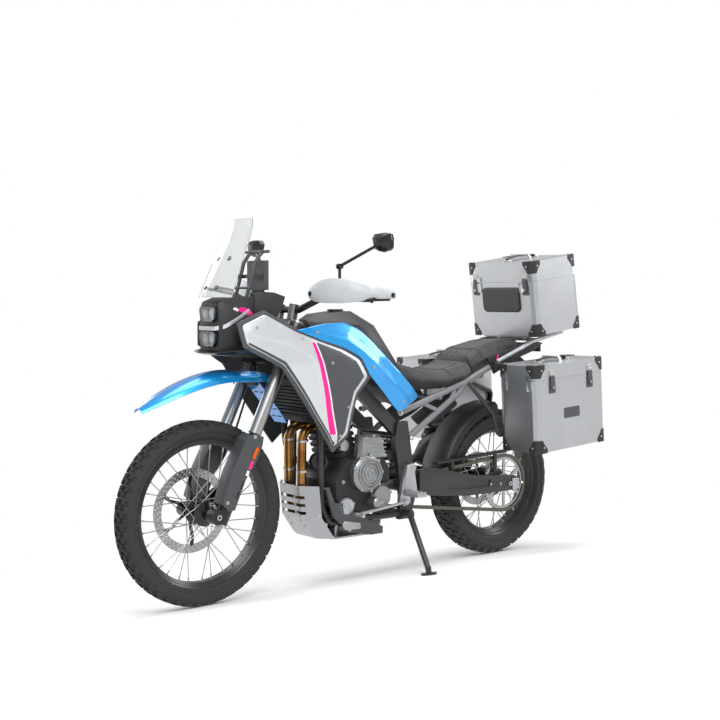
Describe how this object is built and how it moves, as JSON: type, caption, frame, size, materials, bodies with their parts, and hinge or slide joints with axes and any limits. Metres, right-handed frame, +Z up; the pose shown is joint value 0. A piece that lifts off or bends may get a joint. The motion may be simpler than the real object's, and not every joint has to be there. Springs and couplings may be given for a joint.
{
  "type": "adventure motorcycle",
  "caption": "Adventure motorcycle on spoked wheels with tall screen, open engine, two-level seat, aluminium top case and panniers, leaning on its side stand.",
  "frame": {"origin": "on the ground under the middle of the bounding box", "axes": "+X forward, +Y to the rider's left, +Z up; the machine leans to its left on the side stand"},
  "size_m": [2.2674, 1.0334, 1.4356],
  "materials": {
    "black_metal": "satin black",
    "black_plastic": "grained",
    "blue_paint": "metallic gloss",
    "bronze_pipe": "heated bronze",
    "case_aluminium": "brushed satin",
    "clear": "clear",
    "engine_metal": "satin dark",
    "grey_metal": "satin grey",
    "lamp": "clear",
    "pale_plastic": "gloss",
    "red_lens": "gloss",
    "rubber": "matt",
    "seat_cover": "grained",
    "silver": "satin",
    "steel": "satin",
    "tyre": "matt"
  },
  "bodies": {
    "chassis": {"belly_guards": "black_plastic", "chain": "grey_metal", "engine": "engine_metal", "engine_covers": "silver", "exhaust_headers": "bronze_pipe", "foot_controls": "silver", "front_cowl": "black_plastic", "fuel_tank": "black_plastic", "headlamps": "lamp", "light_band": "pale_plastic", "luggage_rack": "silver", "main_frame": "black_metal", "muffler": "black_plastic", "nav_tower": "black_plastic", "panel_trims": "black_plastic", "pannier_box_left": "case_aluminium", "pannier_box_right": "case_aluminium", "pannier_racks": "black_metal", "pillion_seat": "seat_cover", "radiator": "black_plastic", "rear_axle": "silver", "rear_caliper": "steel", "rear_guards": "black_plastic", "rear_mudguard": "black_plastic", "rear_shock": "black_metal", "rider_seat": "seat_cover", "side_panels": "pale_plastic", "skid_plate": "silver", "subframe": "grey_metal", "swingarm": "black_metal", "tail_lamp": "red_lens", "tail_panels": "black_plastic", "tank_panels": "blue_paint", "top_case_box": "case_aluminium", "windscreen": "clear"},
    "steering": {"brake_hoses": "black_plastic", "fork_clamps": "black_metal", "fork_guards": "black_plastic", "fork_legs": "steel", "fork_tubes": "black_metal", "front_axle": "silver", "front_caliper": "steel", "front_fender": "blue_paint", "grips": "rubber", "handguards": "pale_plastic", "handlebar": "black_metal", "mirrors": "black_plastic"},
    "front_wheel": {"front_disc": "steel", "front_rim": "black_metal", "front_spokes": "silver", "front_tyre": "tyre"},
    "rear_wheel": {"rear_disc": "steel", "rear_rim": "black_metal", "rear_spokes": "silver", "rear_sprocket": "steel", "rear_tyre": "tyre"},
    "side_stand": {"side_stand": "black_metal"},
    "top_lid": {"top_case_lid": "case_aluminium"},
    "left_lid": {"pannier_lid_left": "case_aluminium"},
    "right_lid": {"pannier_lid_right": "case_aluminium"}
  },
  "joints": [
    {"name": "steering", "type": "hinge", "parent": "chassis", "child": "steering", "pos_m": [0.42953, -0.00607, 0.94685], "axis": [-0.4384, 0.1483, 0.8865], "range_deg": [-38, 38]},
    {"name": "front_wheel", "type": "hinge", "parent": "steering", "child": "front_wheel", "pos_m": [0.78899, -0.10708, 0.34325], "axis": [0, 0.9863, -0.165], "continuous": true},
    {"name": "rear_wheel", "type": "hinge", "parent": "chassis", "child": "rear_wheel", "pos_m": [-0.71601, -0.11063, 0.32204], "axis": [0, 0.9863, -0.165], "continuous": true},
    {"name": "side_stand", "type": "hinge", "parent": "chassis", "child": "side_stand", "pos_m": [-0.11347, 0.02667, 0.23367], "axis": [-0.2788, 0.9601, 0.0241], "range_deg": [0, 118]},
    {"name": "top_case_lid", "type": "hinge", "parent": "chassis", "child": "top_lid", "pos_m": [-1.07315, 0.04198, 1.23402], "axis": [0, -0.9863, 0.165], "range_deg": [0, 75]},
    {"name": "left_pannier_lid", "type": "hinge", "parent": "chassis", "child": "left_lid", "pos_m": [-0.9742, 0.30098, 0.76111], "axis": [0, -0.9863, 0.165], "range_deg": [0, 85]},
    {"name": "right_pannier_lid", "type": "hinge", "parent": "chassis", "child": "right_lid", "pos_m": [-0.9742, -0.35687, 0.8712], "axis": [0, -0.9863, 0.165], "range_deg": [0, 85]}
  ]
}
